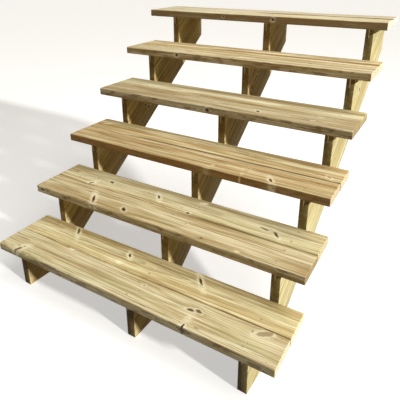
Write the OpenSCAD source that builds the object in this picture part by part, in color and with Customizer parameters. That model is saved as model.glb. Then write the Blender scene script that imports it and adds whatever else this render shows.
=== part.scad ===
// Open-riser deck stair: six treads of two boards each on three notched stringers.
// X runs across the stair (+X to the right of someone climbing), +Y is the climbing direction and
// +Z is up. The origin is the centre of the plumb cut at the top of the middle stringer, the face
// that is fastened to the deck.

/* [Treads] */
// Length of every tread board, across the stair
board_length = 1370; // [1100:10:2400]
// Width of one tread board
board_width = 145; // [110:1:200]
// Thickness of the tread boards
board_thickness = 38; // [28:1:50]
// Joint between the two boards of a tread
board_joint = 2; // [1:0.5:6]
// Radius of the eased long edges of the boards
arris_radius = 5; // [2:0.5:8]

/* [Pitch] */
// Height from the top of one tread to the top of the next
rise = 190; // [150:1:220]
// Distance from the front of one tread to the front of the next
going = 251; // [230:1:280]
// Height of the lowest seat above the ground; the first step up is this and a board
first_seat = 187; // [120:1:220]

/* [Stringers] */
// Thickness of the stringers
stringer_thickness = 38; // [30:1:60]
// Wood left behind the notches, measured square to the slope
throat = 115; // [90:1:150]
// How far the treads reach past the left stringer, at the deck
left_overhang = 147; // [20:1:200]
// How far the treads reach past the right stringer, at the deck
right_overhang = 56; // [20:1:200]
// Distance between the centres of the middle and right stringers, at the deck
right_bay = 543; // [300:1:700]
// Angle that the left stringer runs out of square with the treads, its foot to the left
left_skew = 2.5; // [0:0.1:3]
// Angle that the middle stringer runs out of square with the treads, its foot to the left
middle_skew = 0.6; // [0:0.1:3]
// Angle that the right stringer runs out of square with the treads, its foot to the left
right_skew = 2.1; // [0:0.1:3]
// Distance from the back of the top tread to the plumb cut at the deck
top_setback = 7; // [2:1:60]
// Clearance between the back of a tread and the middle of the riser cut behind it
riser_clearance = 2; // [2:0.5:5]

/* [Hidden] */
$fn = 48;

// Number of treads, one pair of NODES names for each
tread_count = 6;
tread_depth = 2 * board_width + board_joint;
// The front edge of a tread stands this far in front of the riser cut below it
nosing = tread_depth + riser_clearance - going;

// The slope of the stair and the throat measured plumb instead of square to it
pitch = atan2(rise, going);
plumb_throat = throat / cos(pitch);

// Side view of a stringer: u runs back from its toe, v runs up from the ground
function seat_height(step) = first_seat + (step - 1) * rise;
function underside(u) = first_seat - plumb_throat + (u - going) * rise / going;
heel = going + (plumb_throat - first_seat) * going / rise;
plumb_cut = (tread_count - 1) * going + tread_depth - nosing + top_setback;
plumb_top = seat_height(tread_count);
origin_height = (underside(plumb_cut) + plumb_top) / 2;

// Places across the stair, from the middle stringer at the deck
right_end = right_bay + stringer_thickness / 2 + right_overhang;
left_end = right_end - board_length;
left_bay = -left_end - left_overhang - stringer_thickness / 2;

// A skewed stringer is cut this far too long, then trimmed flush with the deck
trim = stringer_thickness;

// Rounded section of a board, lying on v = 0 with its front edge on u = 0
module board_section() {
    inset = arris_radius;
    translate([inset, 0])
        square([board_width - 2 * inset, board_thickness]);
    translate([0, inset])
        square([board_width, board_thickness - 2 * inset]);
    for (u = [inset, board_width - inset], v = [inset, board_thickness - inset])
        translate([u, v])
            circle(r = inset);
}

// Outline of a stringer: toe, one notch a tread, the trimmed end, underside and level foot.
// Stretching it along the slope keeps the riser cuts of a skewed stringer in line with the treads.
module stringer_outline(stretch) {
    cut_end = plumb_cut + trim;
    notches = [
        for (step = [1 : tread_count]) each [
            [(step - 1) * going, seat_height(step)],
            [step < tread_count ? step * going : cut_end, seat_height(step)]
        ]
    ];
    points = concat([[0, 0]], notches, [[cut_end, underside(cut_end)], [heel, 0]]);
    polygon([for (point = points) [point[0] * stretch, point[1]]]);
}

// Lowers parts that are placed by their height above the ground into the frame of the stair
module from_ground() {
    translate([0, 0, -origin_height])
        children();
}

// Everything behind the deck's face, across the width of the treads and beyond the trimmed ends
module deck() {
    translate([left_end, 0, 0])
        cube([board_length, 2 * trim, seat_height(tread_count + 1)]);
}

// One board of a tread; row 0 is the front board and row 1 the rear one
module tread_board(step, row) {
    u = (step - 1) * going - nosing + row * (board_width + board_joint);
    from_ground()
        translate([left_end, u - plumb_cut, seat_height(step)])
            rotate([90, 0, 90])
                linear_extrude(height = board_length)
                    board_section();
}

// A notched stringer whose plumb cut is centred on x and which turns about that cut by its skew
module stringer(x, skew) {
    stretch = 1 / cos(skew);
    from_ground()
        difference() {
            translate([x, 0, 0])
                rotate([0, 0, -skew])
                    translate([-stringer_thickness / 2, -plumb_cut * stretch, 0])
                        rotate([90, 0, 90])
                            linear_extrude(height = stringer_thickness)
                                stringer_outline(stretch);
            deck();
        }
}

module tread_front(step) {
    color("burlywood")
        tread_board(step, 0);
}

module tread_rear(step) {
    color("tan")
        tread_board(step, 1);
}

module stringer_left() {
    color("wheat")
        stringer(-left_bay, left_skew);
}

module stringer_middle() {
    color("wheat")
        stringer(0, middle_skew);
}

module stringer_right() {
    color("wheat")
        stringer(right_bay, right_skew);
}

tread_front(1);  // tread_1_front
tread_rear(1);  // tread_1_rear
tread_front(2);  // tread_2_front
tread_rear(2);  // tread_2_rear
tread_front(3);  // tread_3_front
tread_rear(3);  // tread_3_rear
tread_front(4);  // tread_4_front
tread_rear(4);  // tread_4_rear
tread_front(5);  // tread_5_front
tread_rear(5);  // tread_5_rear
tread_front(6);  // tread_6_front
tread_rear(6);  // tread_6_rear
stringer_left();
stringer_middle();
stringer_right();
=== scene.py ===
"""Wooden deck stairs: six treads of two softwood boards each, screwed down on three notched stringers.

Lengths are metres in the frame of the CAD model: +X to the right of someone climbing, +Y the way they
climb, +Z up, with the origin on the plumb cut at the top of the middle stringer. Only knots and stripes
are given in millimetres.
"""

from __future__ import annotations

import logging
import math
from dataclasses import dataclass, field
from enum import Enum

import bmesh
import bpy
from mathutils import Euler, Matrix, Vector, noise


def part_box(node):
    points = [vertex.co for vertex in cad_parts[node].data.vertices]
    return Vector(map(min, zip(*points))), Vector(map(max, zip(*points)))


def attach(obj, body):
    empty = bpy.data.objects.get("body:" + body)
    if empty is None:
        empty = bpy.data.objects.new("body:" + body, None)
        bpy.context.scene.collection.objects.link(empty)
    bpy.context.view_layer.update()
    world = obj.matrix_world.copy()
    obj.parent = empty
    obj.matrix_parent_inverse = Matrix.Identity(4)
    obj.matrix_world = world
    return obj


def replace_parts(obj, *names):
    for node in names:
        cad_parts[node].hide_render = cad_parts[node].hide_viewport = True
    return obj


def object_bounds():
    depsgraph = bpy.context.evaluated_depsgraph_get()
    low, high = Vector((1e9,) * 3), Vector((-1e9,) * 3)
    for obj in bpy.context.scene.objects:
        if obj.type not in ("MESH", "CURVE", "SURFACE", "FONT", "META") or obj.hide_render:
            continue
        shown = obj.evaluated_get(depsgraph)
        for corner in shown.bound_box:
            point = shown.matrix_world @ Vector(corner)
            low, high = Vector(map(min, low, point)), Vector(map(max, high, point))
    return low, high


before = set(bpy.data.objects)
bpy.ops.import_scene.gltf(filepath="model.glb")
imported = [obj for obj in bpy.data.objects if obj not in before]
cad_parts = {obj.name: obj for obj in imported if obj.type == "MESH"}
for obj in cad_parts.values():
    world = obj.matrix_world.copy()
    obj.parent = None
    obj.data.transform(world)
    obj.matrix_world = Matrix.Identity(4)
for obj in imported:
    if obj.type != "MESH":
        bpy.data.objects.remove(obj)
CAD_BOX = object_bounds()

log = logging.getLogger("deck_stairs")

Colour = tuple[float, float, float]
Socket = bpy.types.NodeSocket
Feed = Socket | float | int | tuple | Vector | Euler

MM = 0.001


# ------------------------------------------------------------------------------ wiring of shader nodes


class Wiring:
    """Places nodes in one shader tree and joins them."""

    def __init__(self, tree: bpy.types.NodeTree) -> None:
        """Starts on a tree.

        Args:
            tree: The tree of a material, a world or a node group.
        """
        self.tree = tree
        self.tree.nodes.clear()

    def node(self, kind: str, *feeds: Feed, **settings: object) -> bpy.types.Node:
        """Adds one node.

        Args:
            kind: Class of the node without its ShaderNode prefix, or the full name of another kind.
            feeds: What feeds its first inputs.
            settings: Properties to set on it.

        Returns:
            The new node.
        """
        name = kind if kind.startswith("NodeGroup") else "ShaderNode" + kind
        made = self.tree.nodes.new(name)
        for key, value in settings.items():
            setattr(made, key, value)
        for socket, value in zip(made.inputs, feeds):
            self.feed(socket, value)
        return made

    def feed(self, socket: Socket, value: Feed) -> None:
        """Links a socket to another one, or sets its value.

        Args:
            socket: The input that is fed.
            value: An output socket, a number, a vector or a colour.
        """
        if isinstance(value, bpy.types.NodeSocket):
            self.tree.links.new(value, socket)
        elif socket.type == "RGBA" and len(value) == 3:
            socket.default_value = (*value, 1.0)
        else:
            socket.default_value = value

    def math(self, operation: str, *values: Feed, clamp: bool = False) -> Socket:
        """Works out a number.

        Args:
            operation: Name of the Math node's operation.
            values: Its inputs.
            clamp: Whether the result is held between 0 and 1.

        Returns:
            The result.
        """
        return self.node("Math", *values, operation=operation, use_clamp=clamp).outputs[0]

    def times(self, first: Feed, second: Feed) -> Socket:
        """Multiplies two numbers."""
        return self.math("MULTIPLY", first, second)

    def minus(self, first: Feed, second: Feed) -> Socket:
        """Takes the second number from the first."""
        return self.math("SUBTRACT", first, second)

    def weighted(self, start: Feed, *shares: tuple[Socket, float]) -> Socket:
        """Adds numbers to a start, each with its weight."""
        total = start
        for value, weight in shares:
            total = self.math("MULTIPLY_ADD", value, weight, total)
        return total

    def vector(self, operation: str, *values: Feed) -> Socket:
        """Works out a vector.

        Args:
            operation: Name of the Vector Math node's operation.
            values: Its vector inputs.

        Returns:
            The result, which is a number for lengths and dot products.
        """
        made = self.node("VectorMath", *values, operation=operation)
        return made.outputs["Value" if operation in ("LENGTH", "DOT_PRODUCT") else "Vector"]

    def scale(self, vector: Feed, factor: Feed) -> Socket:
        """Multiplies a vector by a number."""
        made = self.node("VectorMath", vector, operation="SCALE")
        self.feed(made.inputs["Scale"], factor)
        return made.outputs["Vector"]

    def join(self, *values: Feed) -> Socket:
        """Makes a vector of three numbers."""
        return self.node("CombineXYZ", *values).outputs[0]

    def split(self, vector: Socket) -> list[Socket]:
        """Takes a vector apart into its three numbers."""
        return list(self.node("SeparateXYZ", vector).outputs)

    def ramp(self, value: Feed, low: float, high: float, start: float = 0.0, end: float = 1.0) -> Socket:
        """Eases a number from start to end while it goes from low to high.

        Args:
            value: The number.
            low: Where it starts to change; may be over high.
            high: Where it has changed.
            start: Result at low.
            end: Result at high.

        Returns:
            The eased number.
        """
        made = self.node("MapRange", value, low, high, start, end, interpolation_type="SMOOTHSTEP")
        return made.outputs[0]

    def mix(self, amount: Feed, under: Feed, over: Feed, blend: str = "MIX") -> Socket:
        """Lays one colour over another.

        Args:
            amount: How much of the upper colour, 0 to 1.
            under: The lower colour.
            over: The upper colour.
            blend: The way they blend.

        Returns:
            The blended colour.
        """
        made = self.node("Mix", amount, data_type="RGBA", blend_type=blend, clamp_factor=True)
        self.feed(made.inputs[6], under)
        self.feed(made.inputs[7], over)
        return made.outputs[2]

    def cloud(
        self, at: Feed, detail: float = 2.0, rough: float = 0.5, scale: float = 1.0
    ) -> bpy.types.Node:
        """Adds a soft noise.

        Args:
            at: Where it is read.
            detail: Number of finer layers.
            rough: Strength of the finer layers.
            scale: How often it repeats in one unit.

        Returns:
            The noise node: its first output is a number round 0.5, its second a colour.
        """
        made = self.node("TexNoise")
        self.feed(made.inputs["Vector"], at)
        self.feed(made.inputs["Scale"], scale)
        self.feed(made.inputs["Detail"], detail)
        self.feed(made.inputs["Roughness"], rough)
        return made

    def surface(self, look: dict[str, Feed], height: Socket, strength: float, depth: float) -> None:
        """Makes a surface with a bump and shows it.

        Args:
            look: What feeds the inputs of the surface, by their names.
            height: Height of the bump.
            strength: Strength of the bump.
            depth: Depth of the bump.
        """
        bump = self.node("Bump")
        for name, value in (("Strength", strength), ("Distance", depth), ("Height", height)):
            self.feed(bump.inputs[name], value)
        made = self.node("BsdfPrincipled")
        for name, value in (look | {"Normal": bump.outputs[0]}).items():
            self.feed(made.inputs[name], value)
        self.node("OutputMaterial", made.outputs[0])

    def place(self, effect: Effect, **values: Feed) -> bpy.types.Node:
        """Places a shared effect in this tree.

        Args:
            effect: The effect.
            values: What feeds its inputs, by their names with _ for spaces.

        Returns:
            The group node.
        """
        made = self.node("Group", node_tree=effect.tree())
        for name, value in values.items():
            self.feed(made.inputs[name.replace("_", " ").title()], value)
        return made


class Kind(Enum):
    """What a socket of a shared effect carries."""

    NUMBER = "NodeSocketFloat"
    VECTOR = "NodeSocketVector"
    COLOUR = "NodeSocketColor"


def sockets(*groups: tuple[Kind, str]) -> dict[str, Kind]:
    """Lists the sockets of an effect.

    Args:
        groups: Kinds, each with the names of the sockets that carry it.

    Returns:
        The kind of each socket.
    """
    return {name: kind for kind, names in groups for name in names.split(", ")}


class Effect:
    """A shader effect that several materials share, built once as a node group."""

    name: str = ""
    takes: dict[str, Kind] = {}
    gives: dict[str, Kind] = {}

    def tree(self) -> bpy.types.NodeTree:
        """Finds the node group, or builds it the first time.

        Returns:
            The node group.
        """
        found = bpy.data.node_groups.get(self.name)
        if found:
            return found
        made = bpy.data.node_groups.new(self.name, "ShaderNodeTree")
        for way, wanted in (("INPUT", self.takes), ("OUTPUT", self.gives)):
            for socket, kind in wanted.items():
                made.interface.new_socket(socket, in_out=way, socket_type=kind.value)
        w = Wiring(made)
        source = w.node("NodeGroupInput")
        result = w.node("NodeGroupOutput")
        inputs = {socket.name: socket for socket in source.outputs if socket.name}
        for socket, value in self.wire(w, inputs).items():
            w.feed(result.inputs[socket], value)
        return made

    def wire(self, w: Wiring, given: dict[str, Socket]) -> dict[str, Socket]:
        """Wires the inside of the group.

        Args:
            w: The wiring of the group.
            given: Its inputs by name.

        Returns:
            What feeds each output.
        """
        raise NotImplementedError


class GrainFigure(Effect):
    """Growth rings round a pith that wanders, cut by the faces of a board, with streaks and fibres."""

    name = "grain figure"
    takes = sockets((Kind.VECTOR, "Position, Flow, Pith"), (Kind.NUMBER, "Ring Width, Taper, Seed"))
    gives = sockets((Kind.NUMBER, "Late, Band, Streak, Fibre, Patch, Mottle, Check"))

    def wire(self, w: Wiring, given: dict[str, Socket]) -> dict[str, Socket]:
        """Wires rings, bands, streaks, fibres, patches and hairline checks.

        Args:
            w: The wiring of the group.
            given: Its inputs by name.

        Returns:
            What feeds each output.
        """
        seed = given["Seed"]
        offset = w.join(*(w.times(seed, factor) for factor in (7.31, 3.17, 1.73)))
        place = w.vector("ADD", given["Position"], given["Flow"])
        seeded = w.vector("ADD", place, offset)

        def stretched(*factors: float) -> Socket:
            """Reads the seeded place with its three directions scaled."""
            return w.vector("MULTIPLY", seeded, factors)

        wander = w.cloud(stretched(1.1, 2.5, 2.5), detail=1.0)
        drift = w.vector("SUBTRACT", wander.outputs[1], (0.5, 0.5, 0.5))
        drift = w.vector("MULTIPLY", drift, (0, 0.050, 0.030))
        wobble = w.cloud(stretched(7, 30, 30), detail=3.0).outputs[0]
        section = w.vector("ADD", place, drift)
        spoke = w.vector("MULTIPLY", w.vector("SUBTRACT", section, given["Pith"]), (0, 1, 1))
        along = w.split(place)[0]
        lean = w.times(along, given["Taper"])
        radius = w.math("ADD", w.vector("LENGTH", spoke), lean)
        radius = w.math("MULTIPLY_ADD", w.minus(wobble, 0.5), 0.005, radius)
        rings = w.math("DIVIDE", radius, given["Ring Width"])
        ring_line = w.join(w.times(radius, 70.0), seed, w.times(along, 0.35))
        slow = w.cloud(ring_line, detail=1.5).outputs[0]
        rings = w.math("MULTIPLY_ADD", slow, 2.4, rings)
        share = w.math("FRACT", rings)
        year = w.node("TexWhiteNoise", noise_dimensions="1D")
        w.feed(year.inputs["W"], w.math("ADD", w.math("FLOOR", rings), seed))
        grown = w.ramp(share, 0.30, 0.88)
        ended = w.ramp(share, 1.0, 0.93)
        force = w.math("MULTIPLY_ADD", year.outputs[0], 0.75, 0.25)
        late = w.times(w.times(grown, ended), force)
        band = w.ramp(slow, 0.42, 0.64)
        fine = w.cloud(stretched(2.4, 210, 210), detail=4.0, rough=0.65).outputs[0]
        broad = w.cloud(stretched(3.6, 60, 60), detail=2.0).outputs[0]
        streak = w.math("MULTIPLY_ADD", w.minus(broad, 0.5), 0.55, fine)
        fibre = w.cloud(stretched(28, 1000, 1000), detail=2.0).outputs[0]
        patch = w.cloud(stretched(2.2, 11, 11), detail=2.0).outputs[0]
        mottle = w.cloud(stretched(16, 60, 60), detail=3.0, rough=0.6).outputs[0]
        crack = w.cloud(stretched(2.6, 95, 95), detail=0.0).outputs[0]
        ridge = w.ramp(w.math("ABSOLUTE", w.minus(crack, 0.5)), 0.010, 0.002)
        here = w.ramp(w.cloud(stretched(3.5, 30, 30), detail=0.0).outputs[0], 0.60, 0.68)
        return {
            "Late": late,
            "Band": band,
            "Streak": streak,
            "Fibre": fibre,
            "Patch": patch,
            "Mottle": mottle,
            "Check": w.times(ridge, here),
        }


class KnotFigure(Effect):
    """One knot: its dark heart and rim, the pale wood round it, and the grain that flows past it."""

    name = "knot figure"
    takes = sockets(
        (Kind.VECTOR, "Position, Centre, Turn, Size, Across, Flow"),
        (Kind.NUMBER, "Wobble, Heart, Pale, Reach, Core, Rim, Halo"),
    )
    gives = sockets((Kind.VECTOR, "Flow"), (Kind.NUMBER, "Core, Rim, Halo"))

    def wire(self, w: Wiring, given: dict[str, Socket]) -> dict[str, Socket]:
        """Wires one knot on to those before it.

        Args:
            w: The wiring of the group.
            given: Its inputs by name.

        Returns:
            What feeds each output.
        """
        seat = (given[name] for name in ("Position", "Centre", "Turn", "Size"))
        local = w.node("Mapping", *seat, vector_type="TEXTURE")
        distance = w.vector("LENGTH", local.outputs[0])
        uneven = w.times(distance, w.math("MULTIPLY_ADD", given["Wobble"], 0.9, 0.55))
        core = w.times(w.ramp(uneven, 1.05, 0.72), given["Heart"])
        rim = w.ramp(w.math("ABSOLUTE", w.minus(uneven, 1.0)), 0.42, 0.05)
        rim = w.times(rim, given["Heart"])
        faded = w.math("DIVIDE", uneven, given["Reach"])
        halo = w.times(w.ramp(faded, 1.0, 0.35), given["Pale"])
        fall = w.math("DIVIDE", -1.0, w.math("MAXIMUM", w.times(distance, distance), 1.0))
        aside = w.vector("SUBTRACT", given["Position"], given["Centre"])
        aside = w.vector("MULTIPLY", aside, given["Across"])
        return {
            "Flow": w.vector("ADD", given["Flow"], w.scale(aside, fall)),
            "Core": w.math("MAXIMUM", given["Core"], core),
            "Rim": w.math("MAXIMUM", given["Rim"], rim),
            "Halo": w.math("MAXIMUM", given["Halo"], halo),
        }


class StripeFigure(Effect):
    """One stripe of another tone that runs along the grain and fades out over 0.12 m at its ends."""

    name = "stripe figure"
    fade = 0.12
    takes = sockets(
        (Kind.VECTOR, "Position, Flow"),
        (Kind.NUMBER, "At, Width, Start, End, Strength"),
        (Kind.COLOUR, "Tone, Ground"),
    )
    gives = sockets((Kind.COLOUR, "Ground"))

    def wire(self, w: Wiring, given: dict[str, Socket]) -> dict[str, Socket]:
        """Wires one stripe over the ground.

        Args:
            w: The wiring of the group.
            given: Its inputs by name.

        Returns:
            What feeds each output.
        """
        along, across, _ = w.split(w.vector("ADD", given["Position"], given["Flow"]))
        often = ((along, 3), (given["At"], 40), (across, 60))
        line = w.join(*(w.times(value, factor) for value, factor in often))
        sway = w.cloud(line, detail=2.0).outputs[0]
        spread = w.math("DIVIDE", w.minus(across, given["At"]), given["Width"])
        spread = w.math("MULTIPLY_ADD", w.minus(sway, 0.5), 1.5, spread)
        body = w.math("EXPONENT", w.times(w.times(spread, spread), -1.0))
        start = w.math("DIVIDE", w.minus(along, given["Start"]), self.fade)
        end = w.math("DIVIDE", w.minus(given["End"], along), self.fade)
        inside = w.ramp(w.math("MINIMUM", start, end), -0.5, 1.0)
        amount = w.times(w.times(body, inside), given["Strength"])
        return {"Ground": w.mix(amount, given["Ground"], given["Tone"])}


class TimberTone(Effect):
    """Turns the figure of the grain and the knots into colour, roughness and height."""

    name = "timber tone"
    takes = sockets(
        (Kind.COLOUR, "Ground, Late Wood, Pale Wood, Green, Knot, Knot Rim, End Grain"),
        (Kind.NUMBER, "Late, Streak, Fibre, Patch, Mottle, Check, Core, Rim, Halo, End, Edge, Contrast"),
    )
    gives = sockets((Kind.COLOUR, "Color"), (Kind.NUMBER, "Roughness, Height"))

    def wire(self, w: Wiring, given: dict[str, Socket]) -> dict[str, Socket]:
        """Wires the layers of tone, from the ground to the knots.

        Args:
            w: The wiring of the group.
            given: Its inputs by name.

        Returns:
            What feeds each output.
        """
        core, rim, check = given["Core"], given["Rim"], given["Check"]
        streak = w.minus(given["Streak"], 0.5)
        fibre = w.minus(given["Fibre"], 0.5)
        late = w.times(given["Late"], given["Contrast"])
        light = w.ramp(given["Ground"], 0.10, 0.50, 0.15, 1.0)
        calm = w.weighted(1.0, (given["Halo"], -0.45))
        planed = w.weighted(1.0, (given["End"], -0.7))
        tone = given["Ground"]
        for amount, colour in (
            (w.times(w.ramp(given["Patch"], 0.48, 0.72, 0.0, 0.55), light), "Green"),
            # End faces take the end colour; on the stringers this colour is partly painted shade on their
            # front cuts.
            (w.times(given["End"], 0.85), "End Grain"),
            (w.times(late, calm), "Late Wood"),
            (w.times(w.ramp(streak, 0.0, 0.20, 0.0, 0.8), w.times(planed, light)), "Pale Wood"),
            (w.times(w.ramp(streak, 0.0, -0.20, 0.0, 0.8), calm), "Late Wood"),
            (w.times(given["Halo"], w.ramp(streak, -0.22, 0.10, 0.35, 0.9)), "Pale Wood"),
            (w.times(w.ramp(given["Mottle"], 0.50, 0.62, 0.0, 0.65), given["Edge"]), "Knot Rim"),
        ):
            tone = w.mix(amount, tone, given[colour])
        shade = w.weighted(1.0, (fibre, 0.28))
        tone = w.mix(1.0, tone, w.join(shade, shade, shade), "MULTIPLY")
        tone = w.mix(w.times(check, 0.75), tone, given["Knot"])
        tone = w.mix(w.times(rim, 0.7), tone, given["Knot Rim"])
        heart = w.mix(w.times(core, core), given["Knot Rim"], given["Knot"])
        grain_in_knot = w.math("MULTIPLY_ADD", streak, 0.9, 0.95, clamp=True)
        tone = w.mix(w.times(core, grain_in_knot), tone, heart)
        rough = w.weighted(0.72, (late, -0.10), (fibre, 0.15), (core, -0.20), (given["End"], 0.12))
        height = w.weighted(
            0.0, (streak, 0.5), (late, 0.45), (fibre, 0.55), (check, -2.0), (rim, -0.8), (core, -0.5)
        )
        return {"Color": tone, "Roughness": rough, "Height": height}


# ------------------------------------------------------------------------------------------- finishes


class Tone(Enum):
    """Tones that a stripe of the wood can have."""

    CREAM = (0.80, 0.72, 0.46)
    STRAW = (0.70, 0.58, 0.31)
    BROWN = (0.42, 0.28, 0.10)
    UMBER = (0.20, 0.11, 0.03)
    SHADOW = (0.06, 0.035, 0.012)
    ORANGE = (0.50, 0.27, 0.07)
    RUST = (0.33, 0.16, 0.02)
    GREEN = (0.50, 0.47, 0.20)


class Face(Enum):
    """Face of a board that a knot runs out of."""

    TOP = "top"
    FRONT = "front"


@dataclass(frozen=True)
class KnotKind:
    """How a sort of knot looks.

    Args:
        heart: Darkness of its heart.
        pale: Strength of the pale wood round it.
        reach: How far the pale wood reaches, in sizes of the knot.
    """

    heart: float
    pale: float
    reach: float


BLACK = KnotKind(heart=1.0, pale=0.8, reach=2.9)
SLIT = KnotKind(heart=1.0, pale=0.95, reach=4.5)
BROWN = KnotKind(heart=0.60, pale=0.9, reach=2.6)
PIN = KnotKind(heart=0.85, pale=0.5, reach=3.0)
PALE = KnotKind(heart=0.0, pale=1.0, reach=1.8)
GREEN = KnotKind(heart=0.9, pale=0.9, reach=5.5)
FAINT = KnotKind(heart=0.22, pale=0.5, reach=2.2)


@dataclass(frozen=True)
class Knot:
    """A knot in a board, in millimetres.

    Args:
        x: Place along the board on X, or up along a stringer from the deck.
        v: Place behind the front edge of the tread, or below the top of the board for a front face.
        long: Half its length.
        wide: Half its width.
        turn: Angle of its length from the board's, in degrees.
        kind: What sort of knot it is.
        face: The face that it runs out of.
    """

    x: float
    v: float
    long: float
    wide: float
    turn: float = 0.0
    kind: KnotKind = BLACK
    face: Face = Face.TOP


@dataclass(frozen=True)
class Stripe:
    """A stripe of another tone along a board, in millimetres.

    Args:
        at: Place behind the front edge of the tread, or square to the slope of a stringer.
        width: Half its width.
        tone: Its colour.
        strength: How much it covers, 0 to 1.
        start: Where it starts along the board.
        end: Where it ends.
    """

    at: float
    width: float
    tone: Tone
    strength: float = 0.5
    start: float = -1000
    end: float = 1000


@dataclass(frozen=True)
class Figure:
    """The grain of one board.

    Args:
        seed: Number that makes its figure its own.
        pith: Place of the heart of the tree, behind the tread's front edge and above the top.
        ring_width: Mean width of a growth ring.
        taper: How much the rings run out along the board.
        contrast: Strength of the late wood.
        brown: Share of brown bands.
        tint: Colour that the whole board is multiplied by. On the rear boards of the five lower treads it
            is raised to paint light, lifting them against the shade under the tread above.
        knots: Its knots.
        stripes: Its stripes.
        end_tone: Colour of its sawn ends. On the stringers it is partly painted shade: their front cuts,
            which get little of the key light, are made darker than the end grain's own colour.
    """

    seed: float
    pith: tuple[float, float] = (0.07, -0.10)
    ring_width: float = 0.0042
    taper: float = 0.012
    contrast: float = 0.65
    brown: float = 0.55
    tint: Colour = (1.0, 1.0, 1.0)
    knots: tuple[Knot, ...] = ()
    stripes: tuple[Stripe, ...] = ()
    end_tone: Colour = (0.80, 0.75, 0.57)


@dataclass(frozen=True)
class TimberFinish:
    """Treated softwood, planed and weathered to straw; its knots run through the board."""

    sapwood: Colour = (0.68, 0.58, 0.33)
    heartwood: Colour = (0.47, 0.345, 0.155)
    late_wood: Colour = (0.27, 0.175, 0.060)
    pale_wood: Colour = (0.88, 0.82, 0.58)
    green: Colour = (0.60, 0.56, 0.31)
    knot: Colour = (0.060, 0.032, 0.012)
    knot_rim: Colour = (0.22, 0.125, 0.040)
    specular: float = 0.28
    grain_depth: float = 0.00035
    knot_depth: float = 5.0

    def material(self, name: str, figure: Figure, mapping: Matrix) -> bpy.types.Material:
        """Makes the material of one board.

        Args:
            name: Name of the material.
            figure: The grain of the board.
            mapping: Turns a place of the stair into one of the board: along, across and up from its top.

        Returns:
            The material.
        """
        made = bpy.data.materials.new(name)
        made.use_nodes = True
        made.diffuse_color = (*self.sapwood, 1.0)
        w = Wiring(made.node_tree)
        coordinates = w.node("TexCoord").outputs
        move, turn = mapping.to_translation(), mapping.to_euler()
        place = w.node("Mapping", coordinates["Object"], move, turn, vector_type="POINT").outputs[0]
        wobble = w.cloud(w.vector("ADD", place, (figure.seed, 0, 0)), detail=2.0, scale=90.0).outputs[0]
        flow, core, rim, halo = (0, 0, 0), 0.0, 0.0, 0.0
        for knot in figure.knots:
            node = w.place(
                KnotFigure(), position=place, wobble=wobble, flow=flow, core=core, rim=rim, halo=halo,
                heart=knot.kind.heart, pale=knot.kind.pale, reach=knot.kind.reach, **self.seat(knot)
            )
            flow, core, rim, halo = node.outputs
        grain = w.place(
            GrainFigure(), position=place, flow=flow, pith=(0, *figure.pith),
            ring_width=figure.ring_width, taper=figure.taper, seed=figure.seed
        )
        band = w.times(grain.outputs["Band"], figure.brown)
        ground = w.mix(band, self.sapwood, self.heartwood)
        for stripe in figure.stripes:
            ground = w.place(
                StripeFigure(), position=place, flow=flow, at=stripe.at * MM, width=stripe.width * MM,
                start=stripe.start * MM, end=stripe.end * MM, strength=stripe.strength,
                tone=stripe.tone.value, ground=ground
            ).outputs[0]
        normal = w.node("Mapping", coordinates["Normal"], (0, 0, 0), turn, vector_type="NORMAL")
        lengthwise, across, _ = w.split(normal.outputs[0])
        end = w.ramp(w.math("ABSOLUTE", lengthwise), 0.45, 0.78)
        edge = w.ramp(w.math("ABSOLUTE", across), 0.45, 0.90)
        layers = {name.lower(): grain.outputs[name] for name in GrainFigure.gives if name != "Band"}
        tone = w.place(
            TimberTone(), ground=ground, late_wood=self.late_wood, pale_wood=self.pale_wood,
            green=self.green, knot=self.knot, knot_rim=self.knot_rim, end_grain=figure.end_tone,
            core=core, rim=rim, halo=halo, end=end, edge=edge, contrast=figure.contrast, **layers
        )
        look = {
            "Base Color": w.mix(1.0, tone.outputs["Color"], figure.tint, "MULTIPLY"),
            "Roughness": tone.outputs["Roughness"],
            "Specular IOR Level": self.specular,
        }
        w.surface(look, tone.outputs["Height"], 0.55, self.grain_depth)
        return made

    def seat(self, knot: Knot) -> dict[str, Feed]:
        """Places a knot in its board.

        Args:
            knot: The knot.

        Returns:
            Its centre, turn, size and the direction that the grain goes round it.
        """
        turn = math.radians(knot.turn)
        x, v, long, wide = (length * MM for length in (knot.x, knot.v, knot.long, knot.wide))
        if knot.face is Face.TOP:
            return {
                "centre": (x, v, 0),
                "turn": (0, 0, turn),
                "size": (long, wide, self.knot_depth),
                "across": (0, 1, 0),
            }
        return {
            "centre": (x, 0, -v),
            "turn": (0, -turn, 0),
            "size": (long, self.knot_depth * 0.01, wide),
            "across": (0, 0, 1),
        }


@dataclass(frozen=True)
class ScrewFinish:
    """Tan coating on a hardened deck screw, rubbed bright in small specks."""

    coating: Colour = (0.44, 0.34, 0.17)
    rubbed: Colour = (0.58, 0.51, 0.38)

    def material(self) -> bpy.types.Material:
        """Makes the material.

        Returns:
            The material.
        """
        made = bpy.data.materials.new("coated_screw")
        made.use_nodes = True
        w = Wiring(made.node_tree)
        coordinates = w.node("TexCoord")
        speckle = w.cloud(coordinates.outputs["Object"], detail=3.0, scale=700.0).outputs[0]
        worn = w.ramp(speckle, 0.52, 0.66)
        look = {
            "Base Color": w.mix(worn, self.coating, self.rubbed),
            "Roughness": w.math("MULTIPLY_ADD", worn, -0.15, 0.55),
            "Metallic": w.math("MULTIPLY_ADD", worn, 0.5, 0.35),
        }
        w.surface(look, speckle, 0.2, 0.1 * MM)
        return made


# ------------------------------------------------------------------------------------------- geometry


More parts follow.
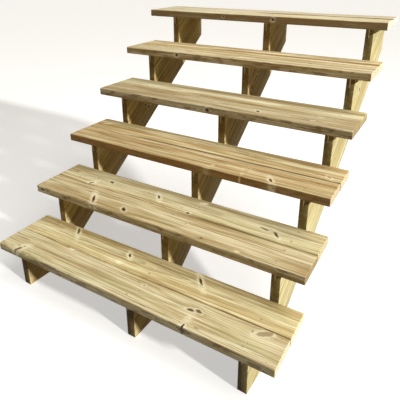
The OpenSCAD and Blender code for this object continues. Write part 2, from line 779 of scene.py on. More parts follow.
def finished(
    name: str, bm: bmesh.types.BMesh, material: bpy.types.Material, smooth_under: float = 32.0
) -> bpy.types.Object:
    """Turns a bmesh into a piece that rides on the stair.

    Args:
        name: Name of the piece.
        bm: Its mesh, in the frame of the stair; it is freed.
        material: Its finish.
        smooth_under: Edges under this angle, in degrees, look smooth.

    Returns:
        The piece.
    """
    for face in bm.faces:
        face.smooth = True
    mesh = bpy.data.meshes.new(name)
    bm.to_mesh(mesh)
    bm.free()
    mesh.set_sharp_from_angle(angle=math.radians(smooth_under))
    mesh.materials.append(material)
    piece = bpy.data.objects.new(name, mesh)
    bpy.context.scene.collection.objects.link(piece)
    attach(piece, "root")
    log.info("%s: %d faces", name, len(mesh.polygons))
    return piece


def cut_across(bm: bmesh.types.BMesh, axis: int, places: list[float]) -> None:
    """Cuts loops into a mesh square to one axis.

    Args:
        bm: The mesh.
        axis: 0, 1 or 2 for X, Y or Z.
        places: Where the loops go on that axis.
    """
    square = Vector((0, 0, 0))
    square[axis] = 1.0
    for place in places:
        everything = bm.verts[:] + bm.edges[:] + bm.faces[:]
        bmesh.ops.bisect_plane(bm, geom=everything, dist=1e-6, plane_co=square * place, plane_no=square)


def eased(bm: bmesh.types.BMesh, edges: list[bmesh.types.BMEdge], radius: float, segments: int) -> None:
    """Rounds some edges.

    Args:
        bm: The mesh.
        edges: Its edges to round.
        radius: Radius of the rounding.
        segments: Number of faces across it.
    """
    bmesh.ops.bevel(
        bm, geom=edges, offset=radius, offset_type="OFFSET", affect="EDGES", segments=segments,
        profile=0.5, material=-1, clamp_overlap=True
    )


@dataclass
class Wane:
    """Bark edge left on the front arris of a board.

    Args:
        start: Where it starts along the board.
        end: Where it ends.
        depth: How much of the arris is missing at its worst.
    """

    start: float
    end: float
    depth: float

    def missing(self, x: float) -> float:
        """How much of the arris is missing at a place along the board."""
        share = (x - self.start) / (self.end - self.start)
        if not 0 < share < 1:
            return 0.0
        return self.depth * math.sin(math.pi * share) * (0.75 + 0.5 * noise.noise(Vector((x * 60, 0, 4))))


@dataclass
class Board:
    """One planed board of a tread.

    Args:
        node: The CAD node that it stands for.
        figure: Its grain.
        arris: Radius of its long edges.
        end_ease: Radius of its sawn end edges.
        short_left: How far its left end falls short.
        short_right: How far its right end falls short.
        shift: Sideways shift of its left and right ends, towards the front of the tread.
        wane: Bark edge on its front arris.
        bays: Number of stretches that it is cut into, so that it can warp.
        worn: Scale of what wear and warp take off its faces.
    """

    node: str
    figure: Figure
    arris: float = 0.005
    end_ease: float = 0.0009
    short_left: float = 0.0005
    short_right: float = 0.0005
    shift: tuple[float, float] = (0.0, 0.0)
    wane: Wane | None = None
    bays: int = 54
    worn: float = 0.25 * MM

    def build(self, finish: TimberFinish, tread_front: float) -> bpy.types.Object:
        """Makes the board.

        Args:
            finish: The finish of the timber.
            tread_front: Where the tread's front edge is on Y.

        Returns:
            The board.
        """
        low, high = (Vector(corner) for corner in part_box(self.node))
        bm = bmesh.new()
        self.plane(bm, high - low, (low + high) / 2)
        self.weather(bm, high - low, (low + high) / 2)
        mapping = Matrix.Translation((0, -tread_front, -high.z))
        material = finish.material("wood_" + self.node, self.figure, mapping)
        piece = finished("board_" + self.node, bm, material)
        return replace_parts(piece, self.node)

    def plane(self, bm: bmesh.types.BMesh, size: Vector, middle: Vector) -> None:
        """Shapes the board with its rounded arrises, eased ends and enough loops to warp.

        Args:
            bm: An empty mesh.
            size: Size of the board.
            middle: Its middle.
        """
        block = Matrix.Translation(middle) @ Matrix.Diagonal((*size, 1.0))
        bmesh.ops.create_cube(bm, size=1.0, matrix=block)
        long_edges = [e for e in bm.edges if abs(e.verts[0].co.x - e.verts[1].co.x) > size.x / 2]
        eased(bm, long_edges, self.arris, 5)
        end_edges = [e for e in bm.edges if abs(e.verts[0].co.x - e.verts[1].co.x) < 1e-6]
        eased(bm, end_edges, self.end_ease, 2)
        reach = size.x / 2 - 4 * MM
        cut_across(bm, 0, [middle.x + reach * (2 * i / self.bays - 1) for i in range(self.bays + 1)])
        flat = self.arris + 1.5 * MM
        inner = size.y / 2 - flat
        cut_across(bm, 1, [middle.y + inner * share for share in (-1, -0.55, 0, 0.55, 1)])
        upper = size.z / 2 - flat
        cut_across(bm, 2, [middle.z - upper, middle.z + upper])

    def weather(self, bm: bmesh.types.BMesh, size: Vector, middle: Vector) -> None:
        """Cups and waves the board a little, and leaves its ends and wane uneven.

        Args:
            bm: The planed board.
            size: Size of the board.
            middle: Its middle.
        """
        seed = self.figure.seed
        for vertex in bm.verts:
            place = vertex.co.copy()
            share = (place.x - middle.x) / size.x + 0.5
            above = max(0.0, (place.z - middle.z) / (size.z / 2))
            side = (place.y - middle.y) / (size.y / 2)
            wave = noise.noise(Vector((place.x * 3.2, place.y * 14, seed)))
            vertex.co.z -= above * self.worn * (1.4 + wave + side * side)
            wriggle = noise.noise(Vector((place.x * 4.0, side, seed + 9)))
            vertex.co.y -= side * self.worn * (1 + wriggle)
            vertex.co.y -= self.shift[0] * (1 - share) + self.shift[1] * share
            vertex.co.x += self.short_left * (1 - share) - self.short_right * share
            if self.wane and side < 0:
                lost = self.wane.missing(place.x)
                outer = max(0.0, -side * 1.25 - 0.25) ** 3
                vertex.co.z -= above * outer * lost
                vertex.co.y += above * outer * lost * 0.7


@dataclass
class Stringer:
    """A notched stringer, cut from one plank with its milled edge below.

    Args:
        node: The CAD node that it stands for.
        figure: Its grain, in the plank's own directions.
        thickness: Thickness of the plank.
        saw_ease: Radius of its sawn edges.
        milled_ease: Radius of the milled edges along its underside.
        long_edge: Least length of the edges along its underside.
    """

    node: str
    figure: Figure
    thickness: float = 0.038
    saw_ease: float = 0.0007
    milled_ease: float = 0.0035
    long_edge: float = 0.8

    def build(self, finish: TimberFinish, pitch: float) -> bpy.types.Object:
        """Makes the stringer.

        Args:
            finish: The finish of the timber.
            pitch: Slope of the stair, in radians.

        Returns:
            The stringer.
        """
        bm = bmesh.new()
        bm.from_mesh(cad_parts[self.node].data)
        bmesh.ops.remove_doubles(bm, verts=bm.verts, dist=1e-5)
        bmesh.ops.dissolve_limit(bm, angle_limit=0.01, verts=bm.verts[:], edges=bm.edges[:])
        slope = Vector((0, math.cos(pitch), math.sin(pitch)))
        milled = [e for e in bm.edges if self.runs_along(e, slope)]
        eased(bm, milled, self.milled_ease, 4)
        sawn = [e for e in bm.edges if e.is_convex and e.calc_face_angle(0) > 1.0]
        eased(bm, sawn, self.saw_ease, 2)
        turn = Matrix(((0, slope.y, slope.z), (0, -slope.z, slope.y), (1, 0, 0))).to_4x4()
        square = Matrix.Rotation(math.atan(self.lean()), 4, "Z")
        mapping = Matrix.Translation((0, 0, -self.centre(0.0))) @ turn @ square
        material = finish.material("wood_" + self.node, self.figure, mapping)
        piece = finished("cut_" + self.node, bm, material)
        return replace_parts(piece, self.node)

    def lean(self) -> float:
        """How far the stringer runs to the right for each metre up the stair, seen from above."""
        low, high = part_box(self.node)
        return (high[0] - low[0] - self.thickness) / (high[1] - low[1])

    def centre(self, y: float) -> float:
        """Where the middle of its thickness is on X, at a place on Y."""
        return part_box(self.node)[1][0] - self.thickness / 2 + y * self.lean()

    def runs_along(self, edge: bmesh.types.BMEdge, slope: Vector) -> bool:
        """Whether an edge is one of the two long ones below."""
        line = edge.verts[1].co - edge.verts[0].co
        return line.length > self.long_edge and abs(line.normalized().dot(slope)) > 0.99


@dataclass
class Screws:
    """The countersunk screws of one tread.

    Args:
        name: Name of the piece.
        heads: Where the heads are, at the top of the boards.
        head_radius: Radius of a head.
        shank_radius: Radius of the shank.
        length: Length under the head.
        flare: How much taller the head is than a cone of 45 degrees.
        recess: Share of the head's radius that is left round its recess.
        lobe: How far every second corner of the recess stands in.
        recess_depth: Depth of the recess.
        tip: Length of the tapered tip.
        tip_share: Share of the shank's radius that is left at the tip.
    """

    name: str
    heads: list[Vector] = field(default_factory=list)
    head_radius: float = 0.0042
    shank_radius: float = 0.0022
    length: float = 0.075
    flare: float = 0.0015
    recess: float = 0.42
    lobe: float = 0.55
    recess_depth: float = 0.0016
    tip: float = 0.005
    tip_share: float = 0.08

    def build(self, material: bpy.types.Material) -> bpy.types.Object:
        """Makes the screws of the tread as one piece.

        Args:
            material: Their finish.

        Returns:
            The screws.
        """
        bm = bmesh.new()
        for head in self.heads:
            self.turn_one(bm, head)
        return finished(self.name, bm, material)

    def turn_one(self, bm: bmesh.types.BMesh, head: Vector) -> None:
        """Adds one screw with a lobed recess.

        Args:
            bm: The mesh.
            head: Centre of the top of its head.
        """
        taper = self.head_radius - self.shank_radius + self.flare
        cone = bmesh.ops.create_cone(
            bm, cap_ends=True, segments=12, radius1=self.shank_radius, radius2=self.head_radius,
            depth=taper, matrix=Matrix.Translation(head - Vector((0, 0, taper / 2)))
        )
        faces = {face for vertex in cone["verts"] for face in vertex.link_faces}
        neck, *_, top = sorted(faces, key=lambda face: face.calc_center_median().z)
        bmesh.ops.inset_individual(bm, faces=[top], thickness=self.head_radius * self.recess)
        for vertex in list(top.verts)[::2]:
            vertex.co = head.lerp(vertex.co, self.lobe)
        self.draw_out(bm, top, -self.recess_depth)
        shank = self.draw_out(bm, neck, -self.length)
        point = self.draw_out(bm, shank, -self.tip)
        centre = point.calc_center_median()
        for vertex in point.verts:
            vertex.co = centre.lerp(vertex.co, self.tip_share)

    def draw_out(self, bm: bmesh.types.BMesh, face: bmesh.types.BMFace, rise: float) -> bmesh.types.BMFace:
        """Extrudes a level face up or down.

        Args:
            bm: The mesh.
            face: The face.
            rise: How far it goes up.

        Returns:
            The face at the end.
        """
        drawn = bmesh.ops.extrude_discrete_faces(bm, faces=[face])["faces"][0]
        bmesh.ops.translate(bm, verts=drawn.verts[:], vec=(0, 0, rise))
        return drawn


# --------------------------------------------------------------------------------------------- studio


@dataclass(frozen=True)
class Viewpoint:
    """Where the camera stands and how it looks.

    Args:
        place: Its place.
        pitch: How far it looks up, in degrees.
        roll: How far it leans, in degrees.
        yaw: How far it turns left of the climbing direction, in degrees.
        lens: Focal length in millimetres on a 36 mm frame.
        shift: Shift of the frame.
    """

    place: Vector = field(default_factory=lambda: Vector((0.9415, -2.574, 0.3626)))
    pitch: float = -21.623
    roll: float = -0.264
    yaw: float = 31.191
    lens: float = 39.79
    shift: tuple[float, float] = (0.0113, -0.15)

    def build(self) -> bpy.types.Object:
        """Makes the camera and gives it to the scene.

        Returns:
            The camera.
        """
        data = bpy.data.cameras.new("camera")
        data.lens = self.lens
        data.sensor_width = 36.0
        data.shift_x, data.shift_y = self.shift
        data.clip_end = 200.0
        camera = bpy.data.objects.new("camera", data)
        turn = (
            Matrix.Rotation(math.radians(self.yaw), 4, "Z")
            @ Matrix.Rotation(math.radians(90.0 + self.pitch), 4, "X")
            @ Matrix.Rotation(math.radians(self.roll), 4, "Z")
        )
        camera.matrix_world = Matrix.Translation(self.place) @ turn
        bpy.context.scene.collection.objects.link(camera)
        bpy.context.scene.camera = camera
        return camera


@dataclass(frozen=True)
class Studio:
    """A pale floor, a low soft key light from the right and a dim warm fill.

    Args:
        key_travel: Direction that the key light travels.
        key_power: Its strength.
        key_softness: Angle that it spans, in degrees.
        key_tone: Its colour.
        top_power: Power of the soft box overhead, in watts.
        top_offset: Where the soft box hangs from the middle of the stair.
        fill: Colour of the fill from the right.
        shade: Colour of the fill from the other sides.
        backdrop: Colour behind the floor.
        floor_tone: Colour of the floor.
        floor_glow: How far the floor is lit from below, as a light table is.
    """

    key_travel: Vector = field(default_factory=lambda: Vector((-0.92, 0.14, -0.37)))
    key_power: float = 4.1
    key_softness: float = 3.5
    key_tone: Colour = (1.0, 0.985, 0.95)
    top_power: float = 160.0
    top_offset: Vector = field(default_factory=lambda: Vector((2.1, 0.1, 3.9)))
    fill: Colour = (0.185, 0.122, 0.008)
    shade: Colour = (0.034, 0.020, 0.001)
    backdrop: Colour = (1.0, 1.0, 1.0)
    floor_tone: Colour = (0.72, 0.72, 0.72)
    floor_glow: float = 0.52

    def build(self, ground: float, middle: Vector) -> None:
        """Makes the floor, the lights and the backdrop.

        Args:
            ground: Height of the floor.
            middle: Middle of the stair.
        """
        self.lay_floor(ground)
        self.hang_key()
        self.hang_soft_box(middle)
        self.fill_shade()
        bpy.context.scene.view_settings.view_transform = "Standard"
        bpy.context.scene.view_settings.look = "None"

    def lay_floor(self, ground: float) -> None:
        """Lays the floor at a height."""
        bm = bmesh.new()
        level = Matrix.Translation((0, 0, ground))
        bmesh.ops.create_grid(bm, x_segments=1, y_segments=1, size=40.0, matrix=level)
        mesh = bpy.data.meshes.new("floor")
        bm.to_mesh(mesh)
        bm.free()
        material = bpy.data.materials.new("pale_floor")
        material.use_nodes = True
        surface = material.node_tree.nodes["Principled BSDF"]
        surface.inputs["Base Color"].default_value = (*self.floor_tone, 1.0)
        surface.inputs["Roughness"].default_value = 0.95
        surface.inputs["Specular IOR Level"].default_value = 0.0
        surface.inputs["Emission Color"].default_value = (1.0, 1.0, 1.0, 1.0)
        surface.inputs["Emission Strength"].default_value = self.floor_glow
        mesh.materials.append(material)
        floor = bpy.data.objects.new("floor", mesh)
        floor.visible_diffuse = False
        floor.visible_shadow = False
        bpy.context.scene.collection.objects.link(floor)

    def hang_key(self) -> None:
        """Hangs the key light."""
        data = bpy.data.lights.new("key", "SUN")
        data.energy = self.key_power
        data.angle = math.radians(self.key_softness)
        data.color = self.key_tone
        self.aim(data, Vector(), self.key_travel)

    def hang_soft_box(self, middle: Vector) -> None:
        """Hangs a large soft box over the right of the stair.

        Args:
            middle: Middle of the stair.
        """
        data = bpy.data.lights.new("soft_box", "AREA")
        data.shape = "DISK"
        data.size = 4.0
        data.energy = self.top_power
        self.aim(data, middle + self.top_offset, -self.top_offset)

    def aim(self, data: bpy.types.Light, place: Vector, travel: Vector) -> None:
        """Puts a light in its place and turns it.

        Args:
            data: The light.
            place: Its place.
            travel: Direction that its light travels.
        """
        light = bpy.data.objects.new(data.name, data)
        light.location = place
        light.rotation_mode = "QUATERNION"
        light.rotation_quaternion = travel.to_track_quat("-Z", "Y")
        bpy.context.scene.collection.objects.link(light)

    def fill_shade(self) -> None:
        """Lights the shade dimly and shows a pale backdrop."""
        world = bpy.data.worlds.new("studio")
        world.use_nodes = True
        bpy.context.scene.world = world
        w = Wiring(world.node_tree)
        facing = w.vector("DOT_PRODUCT", w.node("TexCoord").outputs["Generated"], (0.85, 0.35, 0.25))
        dim = w.node("Background", w.mix(w.ramp(facing, -0.1, 0.8), self.shade, self.fill))
        pale = w.node("Background", self.backdrop)
        camera_ray = w.node("LightPath").outputs["Is Camera Ray"]
        either = w.node("MixShader", camera_ray, dim.outputs[0], pale.outputs[0])
        w.node("OutputWorld", either.outputs[0])


# ------------------------------------------------------------------------------- the timber of the stair


Tread = tuple[Board, Board]


def tread_1() -> Tread:
    """The lowest tread: pale, with many knots and a bark edge at the left.

    Returns:
        Its front and rear boards.
    """
    front = Figure(
        seed=1.0, pith=(0.085, -0.16), tint=(0.98, 0.98, 0.98),
        knots=(
            Knot(-640, 16, 17, 6, 55, GREEN),
            Knot(-625, 40, 5, 3, 40, PIN),
            Knot(-422, 135, 14, 5, 10, PALE),
            Knot(13, 108, 6, 5, 10, BROWN),
            Knot(13, 72, 4, 3, 60, PIN),
            Knot(246, 88, 14, 6, 5),
            Knot(276, 97, 12, 6, -10),
            Knot(531, 122, 28, 10, 32, BROWN),
            Knot(495, 55, 3, 2, 0, PIN),
            Knot(580, 12, 3, 2, 60, PIN),
            Knot(262, 4, 4, 12),
            Knot(262, 16, 10, 9, 0, BLACK, Face.FRONT),
            Knot(535, 22, 40, 6, 5, FAINT, Face.FRONT),
        ),
        stripes=(
            Stripe(16, 11, Tone.CREAM, 0.6),
            Stripe(45, 6, Tone.BROWN, 0.4, -300, 300),
            Stripe(58, 6, Tone.BROWN, 0.7, 100),
            Stripe(66, 6, Tone.BROWN, 0.35, -1000, -200),
            Stripe(92, 13, Tone.CREAM, 0.55, -1000, 100),
            Stripe(140, 6, Tone.BROWN, 0.7, -100),
            Stripe(145, 5, Tone.UMBER, 0.8, 0),
            Stripe(4, 10, Tone.GREEN, 0.8, -740, -450),
            Stripe(0, 4, Tone.CREAM, 0.8, -500, 0),
            Stripe(0, 4, Tone.CREAM, 0.45, 0),
        ),
    )
    rear = Figure(
        # Tint raised above the front board's to paint light, lifting this board against the shade under
        # the tread above.
        seed=2.0, pith=(0.235, -0.12), tint=(1.17, 1.17, 1.11),
        knots=(
            Knot(-500, 260, 24, 5, -53, SLIT),
            Knot(-163, 235, 12, 5, -50, SLIT),
            Knot(-175, 172, 13, 6, 0, PALE),
            Knot(197, 247, 22, 5, -50, SLIT),
            Knot(148, 190, 10, 4, 0, FAINT),
        ),
        stripes=(
            Stripe(148, 5, Tone.UMBER, 0.6, 0),
            Stripe(164, 10, Tone.BROWN, 0.35),
            Stripe(182, 10, Tone.BROWN, 0.45, 0),
            Stripe(210, 12, Tone.CREAM, 0.9, -1000, -200),
            Stripe(222, 12, Tone.CREAM, 0.8, -400, 350),
            Stripe(214, 12, Tone.CREAM, 0.6, 250),
            Stripe(268, 24, Tone.BROWN, 0.65),
        ),
    )
    return (
        Board("tread_1_front", front, short_right=0.0012, wane=Wane(-0.76, -0.42, 0.009)),
        Board("tread_1_rear", rear, shift=(0.0012, -0.0003)),
    )


def tread_2() -> Tread:
    """The second tread: black slits at the left, a long spike knot at the right.

    Returns:
        Its front and rear boards.
    """
    front = Figure(
        seed=3.0, pith=(0.05, -0.13), tint=(0.90, 0.87, 0.84), end_tone=(0.30, 0.24, 0.13),
        knots=(
            Knot(-410, 40, 28, 5.8, -54, SLIT),
            Knot(-227, 36, 15, 8, -45),
            Knot(73, 80, 4, 3, 0, PIN),
            Knot(345, 13, 10, 5, 0, PALE),
            Knot(527, 110, 18, 6, 15, FAINT),
            Knot(-715, 16, 14, 6, 0, BLACK, Face.FRONT),
            Knot(-560, 20, 8, 5, 0, PIN, Face.FRONT),
        ),
        stripes=(
            Stripe(6, 7, Tone.BROWN, 0.5, -300),
            Stripe(28, 8, Tone.BROWN, 0.55),
            Stripe(78, 12, Tone.CREAM, 0.85),
            Stripe(98, 5, Tone.BROWN, 0.35, 0),
            Stripe(142, 6, Tone.BROWN, 0.7, -200),
            Stripe(144, 5.5, Tone.SHADOW, 0.85, 20),
            Stripe(30, 40, Tone.RUST, 0.55, 540),
        ),
    )
    rear = Figure(
        # Tint raised above the front board's to paint light, lifting this board against the shade under
        # the tread above.
        seed=4.0, pith=(0.21, -0.14), tint=(1.02, 1.03, 1.02), end_tone=(0.60, 0.52, 0.32),
        knots=(
            Knot(-538, 212, 6, 4, 0, PIN),
            Knot(-448, 213, 13, 7, -20),
            Knot(-535, 158, 13, 5, 60, SLIT),
            Knot(-156, 208, 14, 5, -50, SLIT),
            Knot(58, 222, 5, 3, 0, PIN),
            Knot(58, 262, 18, 10, 20, PALE),
            Knot(36, 156, 9, 6, 0),
            Knot(400, 208, 36, 10, -8, FAINT),
            Knot(376, 210, 20, 3.5, -10),
            Knot(432, 196, 19, 6, -48),
        ),
        stripes=(
            Stripe(152, 7, Tone.BROWN, 0.6),
            Stripe(148, 5.5, Tone.SHADOW, 0.85, 20),
            Stripe(196, 12, Tone.CREAM, 0.75, -1000, 250),
            Stripe(222, 12, Tone.CREAM, 0.7),
            Stripe(262, 14, Tone.BROWN, 0.5),
            Stripe(288, 8, Tone.UMBER, 0.35, -1000, 200),
            Stripe(175, 18, Tone.GREEN, 0.4, 0),
        ),
    )
    return (
        Board("tread_2_front", front, short_left=0.0012),
        Board("tread_2_rear", rear, shift=(0.0013, -0.0012)),
    )


def tread_3() -> Tread:
    """The third tread: orange-brown, with an open joint at the right.

    Returns:
        Its front and rear boards.
    """
    front = Figure(
        seed=5.0, pith=(0.08, -0.11), contrast=0.9, brown=0.75, tint=(0.87, 0.80, 0.73),
        knots=(
            Knot(-200, 87, 10, 6, 0, FAINT),
            Knot(227, 75, 8, 5, 0, FAINT),
            Knot(85, 34, 12, 6, 60, PALE),
            Knot(362, 30, 15, 5, -55, SLIT),
            Knot(235, 18, 4, 12, 0, PALE, Face.FRONT),
        ),
        stripes=(
            Stripe(0, 5, Tone.RUST, 1.0),
            Stripe(18, 8, Tone.CREAM, 0.5, -1000, 200),
            Stripe(40, 8, Tone.ORANGE, 0.5),
            Stripe(58, 6, Tone.CREAM, 0.35, -1000, -100),
            Stripe(82, 6, Tone.BROWN, 0.8, -500),
            Stripe(100, 10, Tone.ORANGE, 0.6),
            Stripe(130, 9, Tone.CREAM, 0.8, -1000, 300),
            Stripe(118, 7, Tone.CREAM, 0.45, 200),
            Stripe(144, 5, Tone.SHADOW, 0.85, -450),
            Stripe(139, 6, Tone.UMBER, 0.55, 150),
        ),
    )
    rear = Figure(
        # Tint raised above the front board's to paint light, lifting this board against the shade under
        # the tread above.
        seed=6.0, pith=(0.22, -0.12), contrast=0.9, brown=0.7, tint=(0.98, 0.93, 0.85),
        knots=(
            Knot(-684, 225, 22, 6, 30, PALE),
            Knot(-110, 225, 12, 6, 20, PALE),
            Knot(190, 225, 10, 6, 0, FAINT),
            Knot(561, 180, 14, 6, -45, BROWN),
        ),
        stripes=(
            Stripe(153, 6, Tone.BROWN, 0.6),
            Stripe(148, 5, Tone.SHADOW, 0.85, -450),
            Stripe(176, 8, Tone.STRAW, 0.4, -1000, 0),
            Stripe(204, 14, Tone.ORANGE, 0.75, -1000, 250),
            Stripe(182, 16, Tone.BROWN, 0.65, 200),
            Stripe(244, 12, Tone.CREAM, 0.85, -1000, 300),
            Stripe(224, 10, Tone.CREAM, 0.65, 250),
            Stripe(262, 12, Tone.BROWN, 0.7, 250),
            Stripe(284, 8, Tone.BROWN, 0.4),
        ),
    )
    return (
        Board("tread_3_front", front, short_left=0.0004, short_right=0.0014),
        Board("tread_3_rear", rear, shift=(0.0014, -0.0018)),
    )


def tread_4() -> Tread:
    """The fourth tread: greyer, with a wide cream band along the rear board.

    Returns:
        Its front and rear boards.
    """
    front = Figure(
        seed=7.0, pith=(0.06, -0.09), brown=0.75, tint=(0.78, 0.76, 0.77), end_tone=(0.41, 0.32, 0.18),
        knots=(
            Knot(-505, 67, 7, 5, 0, FAINT),
            Knot(-280, 40, 7, 5, 0, FAINT),
            Knot(176, 52, 12, 6, -50),
            Knot(437, 52, 12, 6, 15, PALE),
            Knot(455, 112, 12, 6, 15, PALE),
            Knot(-66, 18, 9, 8, 0, BLACK, Face.FRONT),
        ),
        stripes=(
            Stripe(6, 6, Tone.CREAM, 0.35),
            Stripe(28, 9, Tone.BROWN, 0.55),
            Stripe(56, 12, Tone.CREAM, 0.35),
            Stripe(105, 16, Tone.BROWN, 0.35, -1000, 100),
            Stripe(138, 10, Tone.BROWN, 0.7),
            Stripe(145, 5, Tone.UMBER, 0.6, 100),
            Stripe(80, 5, Tone.BROWN, 0.5, -100),
            Stripe(100, 30, Tone.ORANGE, 0.35, 530),
        ),
    )
    rear = Figure(
        # Tint raised above the front board's to paint light, lifting this board against the shade under
        # the tread above.
        seed=8.0, pith=(0.20, -0.13), contrast=0.8, tint=(0.95, 0.96, 0.99), end_tone=(0.40, 0.31, 0.17),
        stripes=(
            Stripe(156, 12, Tone.BROWN, 0.6),
            Stripe(198, 18, Tone.CREAM, 0.95, -1000, 300),
            Stripe(215, 13, Tone.CREAM, 0.65, 200, 420),
            Stripe(230, 60, Tone.GREEN, 0.5, 500),
            Stripe(252, 16, Tone.BROWN, 0.95, -350),
            Stripe(232, 6, Tone.UMBER, 0.4, -300),
            Stripe(175, 12, Tone.BROWN, 0.5, 200),
        ),
    )
    return (
        Board("tread_4_front", front),
        Board("tread_4_rear", rear, short_left=0.0015, shift=(0.0013, 0.0006)),
    )


def tread_5() -> Tread:
    """The fifth tread: yellow-brown, darker along the joint.

    Returns:
        Its front and rear boards.
    """
    front = Figure(
        seed=9.0, pith=(0.05, -0.12), contrast=0.85, tint=(0.95, 0.93, 0.93),
        knots=(
            Knot(-403, 16, 9, 7, 0, BLACK, Face.FRONT),
            Knot(300, 70, 6, 4, 0, FAINT),
        ),
        stripes=(
            Stripe(12, 12, Tone.CREAM, 0.7),
            Stripe(52, 18, Tone.CREAM, 0.8),
            Stripe(104, 14, Tone.CREAM, 0.6),
            Stripe(140, 14, Tone.BROWN, 0.85),
            Stripe(145, 6, Tone.UMBER, 0.5, 0),
            Stripe(0, 3, Tone.BROWN, 0.8),
            Stripe(30, 9, Tone.UMBER, 0.75, 0),
            Stripe(80, 10, Tone.UMBER, 0.75, -100),
        ),
    )
    rear = Figure(
        # Tint raised above the front board's to paint light, lifting this board against the shade under
        # the tread above.
        seed=10.0, pith=(0.23, -0.10), contrast=0.85, tint=(1.14, 1.11, 1.12),
        knots=(
            Knot(215, 262, 36, 9, 5, BROWN),
            Knot(530, 215, 7, 5, 0, BROWN),
            Knot(500, 222, 5, 4, 0, BROWN),
        ),
        stripes=(
            Stripe(158, 20, Tone.BROWN, 0.9),
            Stripe(160, 14, Tone.CREAM, 0.6, 100),
            Stripe(224, 14, Tone.CREAM, 0.7),
            Stripe(256, 10, Tone.BROWN, 0.8),
            Stripe(284, 10, Tone.CREAM, 0.5, 200),
            Stripe(188, 18, Tone.UMBER, 1.0, -300),
        ),
    )
    return (
        Board("tread_5_front", front, short_right=0.0010),
        Board("tread_5_rear", rear, shift=(0.0008, 0.0)),
    )


def tread_6() -> Tread:
    """The highest tread: bleached and even.

    Returns:
        Its front and rear boards.
    """
    front = Figure(
        seed=11.0, pith=(0.07, -0.14), brown=0.35, contrast=0.55, tint=(1.05, 1.10, 1.23),
        knots=(
            Knot(-250, 16, 6, 5, 0, BLACK, Face.FRONT),
            Knot(47, 18, 8, 7, 0, BLACK, Face.FRONT),
        ),
        stripes=(
            Stripe(140, 16, Tone.UMBER, 1.0, -100),
            Stripe(70, 8, Tone.BROWN, 0.3, -400, 200),
            Stripe(0, 3, Tone.UMBER, 0.95),
        ),
    )
    rear = Figure(
        seed=12.0, pith=(0.21, -0.12), brown=0.3, contrast=0.55, tint=(1.02, 1.08, 1.37),
        stripes=(
            Stripe(156, 17, Tone.UMBER, 1.0, -100),
            Stripe(152, 12, Tone.SHADOW, 0.9, 400),
            Stripe(240, 10, Tone.BROWN, 0.25),
        ),
    )
    return (
        Board("tread_6_front", front),
        Board("tread_6_rear", rear, shift=(0.0010, -0.0008)),
    )


def plank(**own: object) -> Figure:
    """The grain of a stringer's plank: what all three share, and what is its own."""
    shared = {
        "pith": (-0.10, -0.09),
        "ring_width": 0.0055,
        "contrast": 0.8,
        "tint": (0.95, 0.89, 0.74),
        # Dark end colour: partly the end grain, partly painted shade on the front cuts, which get little
        # of the key light.
        "end_tone": (0.18, 0.12, 0.035),
    }
    return Figure(**(shared | own))


def stringer_left() -> Stringer:
    """The left stringer, with a pair of knots under the fourth tread."""
    knots = (
        Knot(-738, 60, 7, 6),
        Knot(-726, 28, 12, 7, -50),
    )
    stripes = (
        Stripe(40, 10, Tone.UMBER, 0.5, -850, -620),
        Stripe(105, 12, Tone.BROWN, 0.7),
        Stripe(-20, 16, Tone.BROWN, 0.6),
    )
    return Stringer("stringer_left", plank(seed=21.0, knots=knots, stripes=stripes))


def stringer_middle() -> Stringer:
    """The middle stringer, with knots and dark streaks under the fifth tread."""
    knots = (
        Knot(-418, 98, 12, 8, -40, BROWN),
        Knot(-508, 75, 14, 4, 20),
        Knot(-545, 78, 12, 4, 20),
    )
    stripes = (
        Stripe(78, 8, Tone.UMBER, 0.6, -620, -420),
        Stripe(10, 14, Tone.BROWN, 0.7),
        Stripe(130, 12, Tone.BROWN, 0.5),
    )
    return Stringer("stringer_middle", plank(seed=22.0, knots=knots, stripes=stripes))


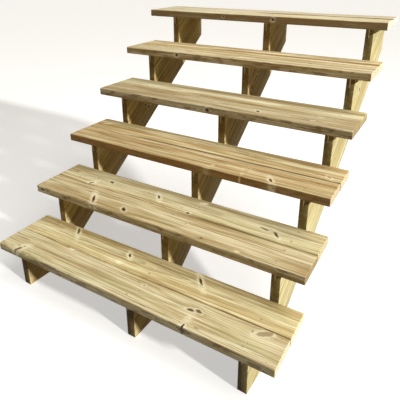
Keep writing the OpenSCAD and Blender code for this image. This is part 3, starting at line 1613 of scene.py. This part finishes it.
def stringer_right() -> Stringer:
    """The right stringer: creamier, with a knot under the fifth tread."""
    stripes = (
        Stripe(78, 7, Tone.BROWN, 0.7, -560, -430),
        Stripe(105, 8, Tone.BROWN, 0.5, -320, -160),
        Stripe(62, 12, Tone.GREEN, 0.5, -900, -600),
    )
    knots = (Knot(-421, 70, 12, 7, 40),)
    # Dark end colour: partly the end grain, partly painted shade on the front cuts, which get little of
    # the key light.
    tones = {"tint": (0.91, 0.94, 0.85), "end_tone": (0.20, 0.15, 0.055)}
    return Stringer("stringer_right", plank(seed=23.0, knots=knots, stripes=stripes, **tones))


@dataclass
class DeckStairs:
    """The whole stair.

    Args:
        treads: Its treads from the lowest up, front board first.
        stringers: Its stringers from the left.
        screw_inset: How far the screws stand in from the long edges of a board.
    """

    treads: list[Tread]
    stringers: list[Stringer]
    screw_inset: float = 0.033

    def pitch(self) -> float:
        """The slope of the stair, in radians, from its lowest and highest treads."""
        first, last = (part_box(tread[0].node)[0] for tread in (self.treads[0], self.treads[-1]))
        return math.atan2(last[2] - first[2], last[1] - first[1])

    def build(self) -> None:
        """Makes every board, stringer and screw."""
        timber = TimberFinish()
        coated = ScrewFinish().material()
        for stringer in self.stringers:
            stringer.build(timber, self.pitch())
        for number, tread in enumerate(self.treads, start=1):
            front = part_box(tread[0].node)[0][1]
            for board in tread:
                board.build(timber, front)
            Screws(f"tread_{number}_screws", self.heads(tread)).build(coated)

    def heads(self, tread: Tread) -> list[Vector]:
        """Where the screws of a tread go: two in each board over each stringer.

        Args:
            tread: The two boards.

        Returns:
            The centres of the heads.
        """
        heads = []
        for board in tread:
            low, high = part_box(board.node)
            for y in (low[1] + self.screw_inset, high[1] - self.screw_inset):
                heads += [Vector((stringer.centre(y), y, high[2])) for stringer in self.stringers]
        return heads


def main() -> None:
    """Builds the stair, the studio and the camera."""
    logging.basicConfig(level=logging.INFO, format="%(name)s %(message)s")
    treads = [tread_1(), tread_2(), tread_3(), tread_4(), tread_5(), tread_6()]
    stringers = [stringer_left(), stringer_middle(), stringer_right()]
    DeckStairs(treads, stringers).build()
    low, high = CAD_BOX
    Studio().build(low.z, (low + high) / 2)
    Viewpoint().build()
    log.info("sizes noted")


if __name__ == "__main__":
    main()
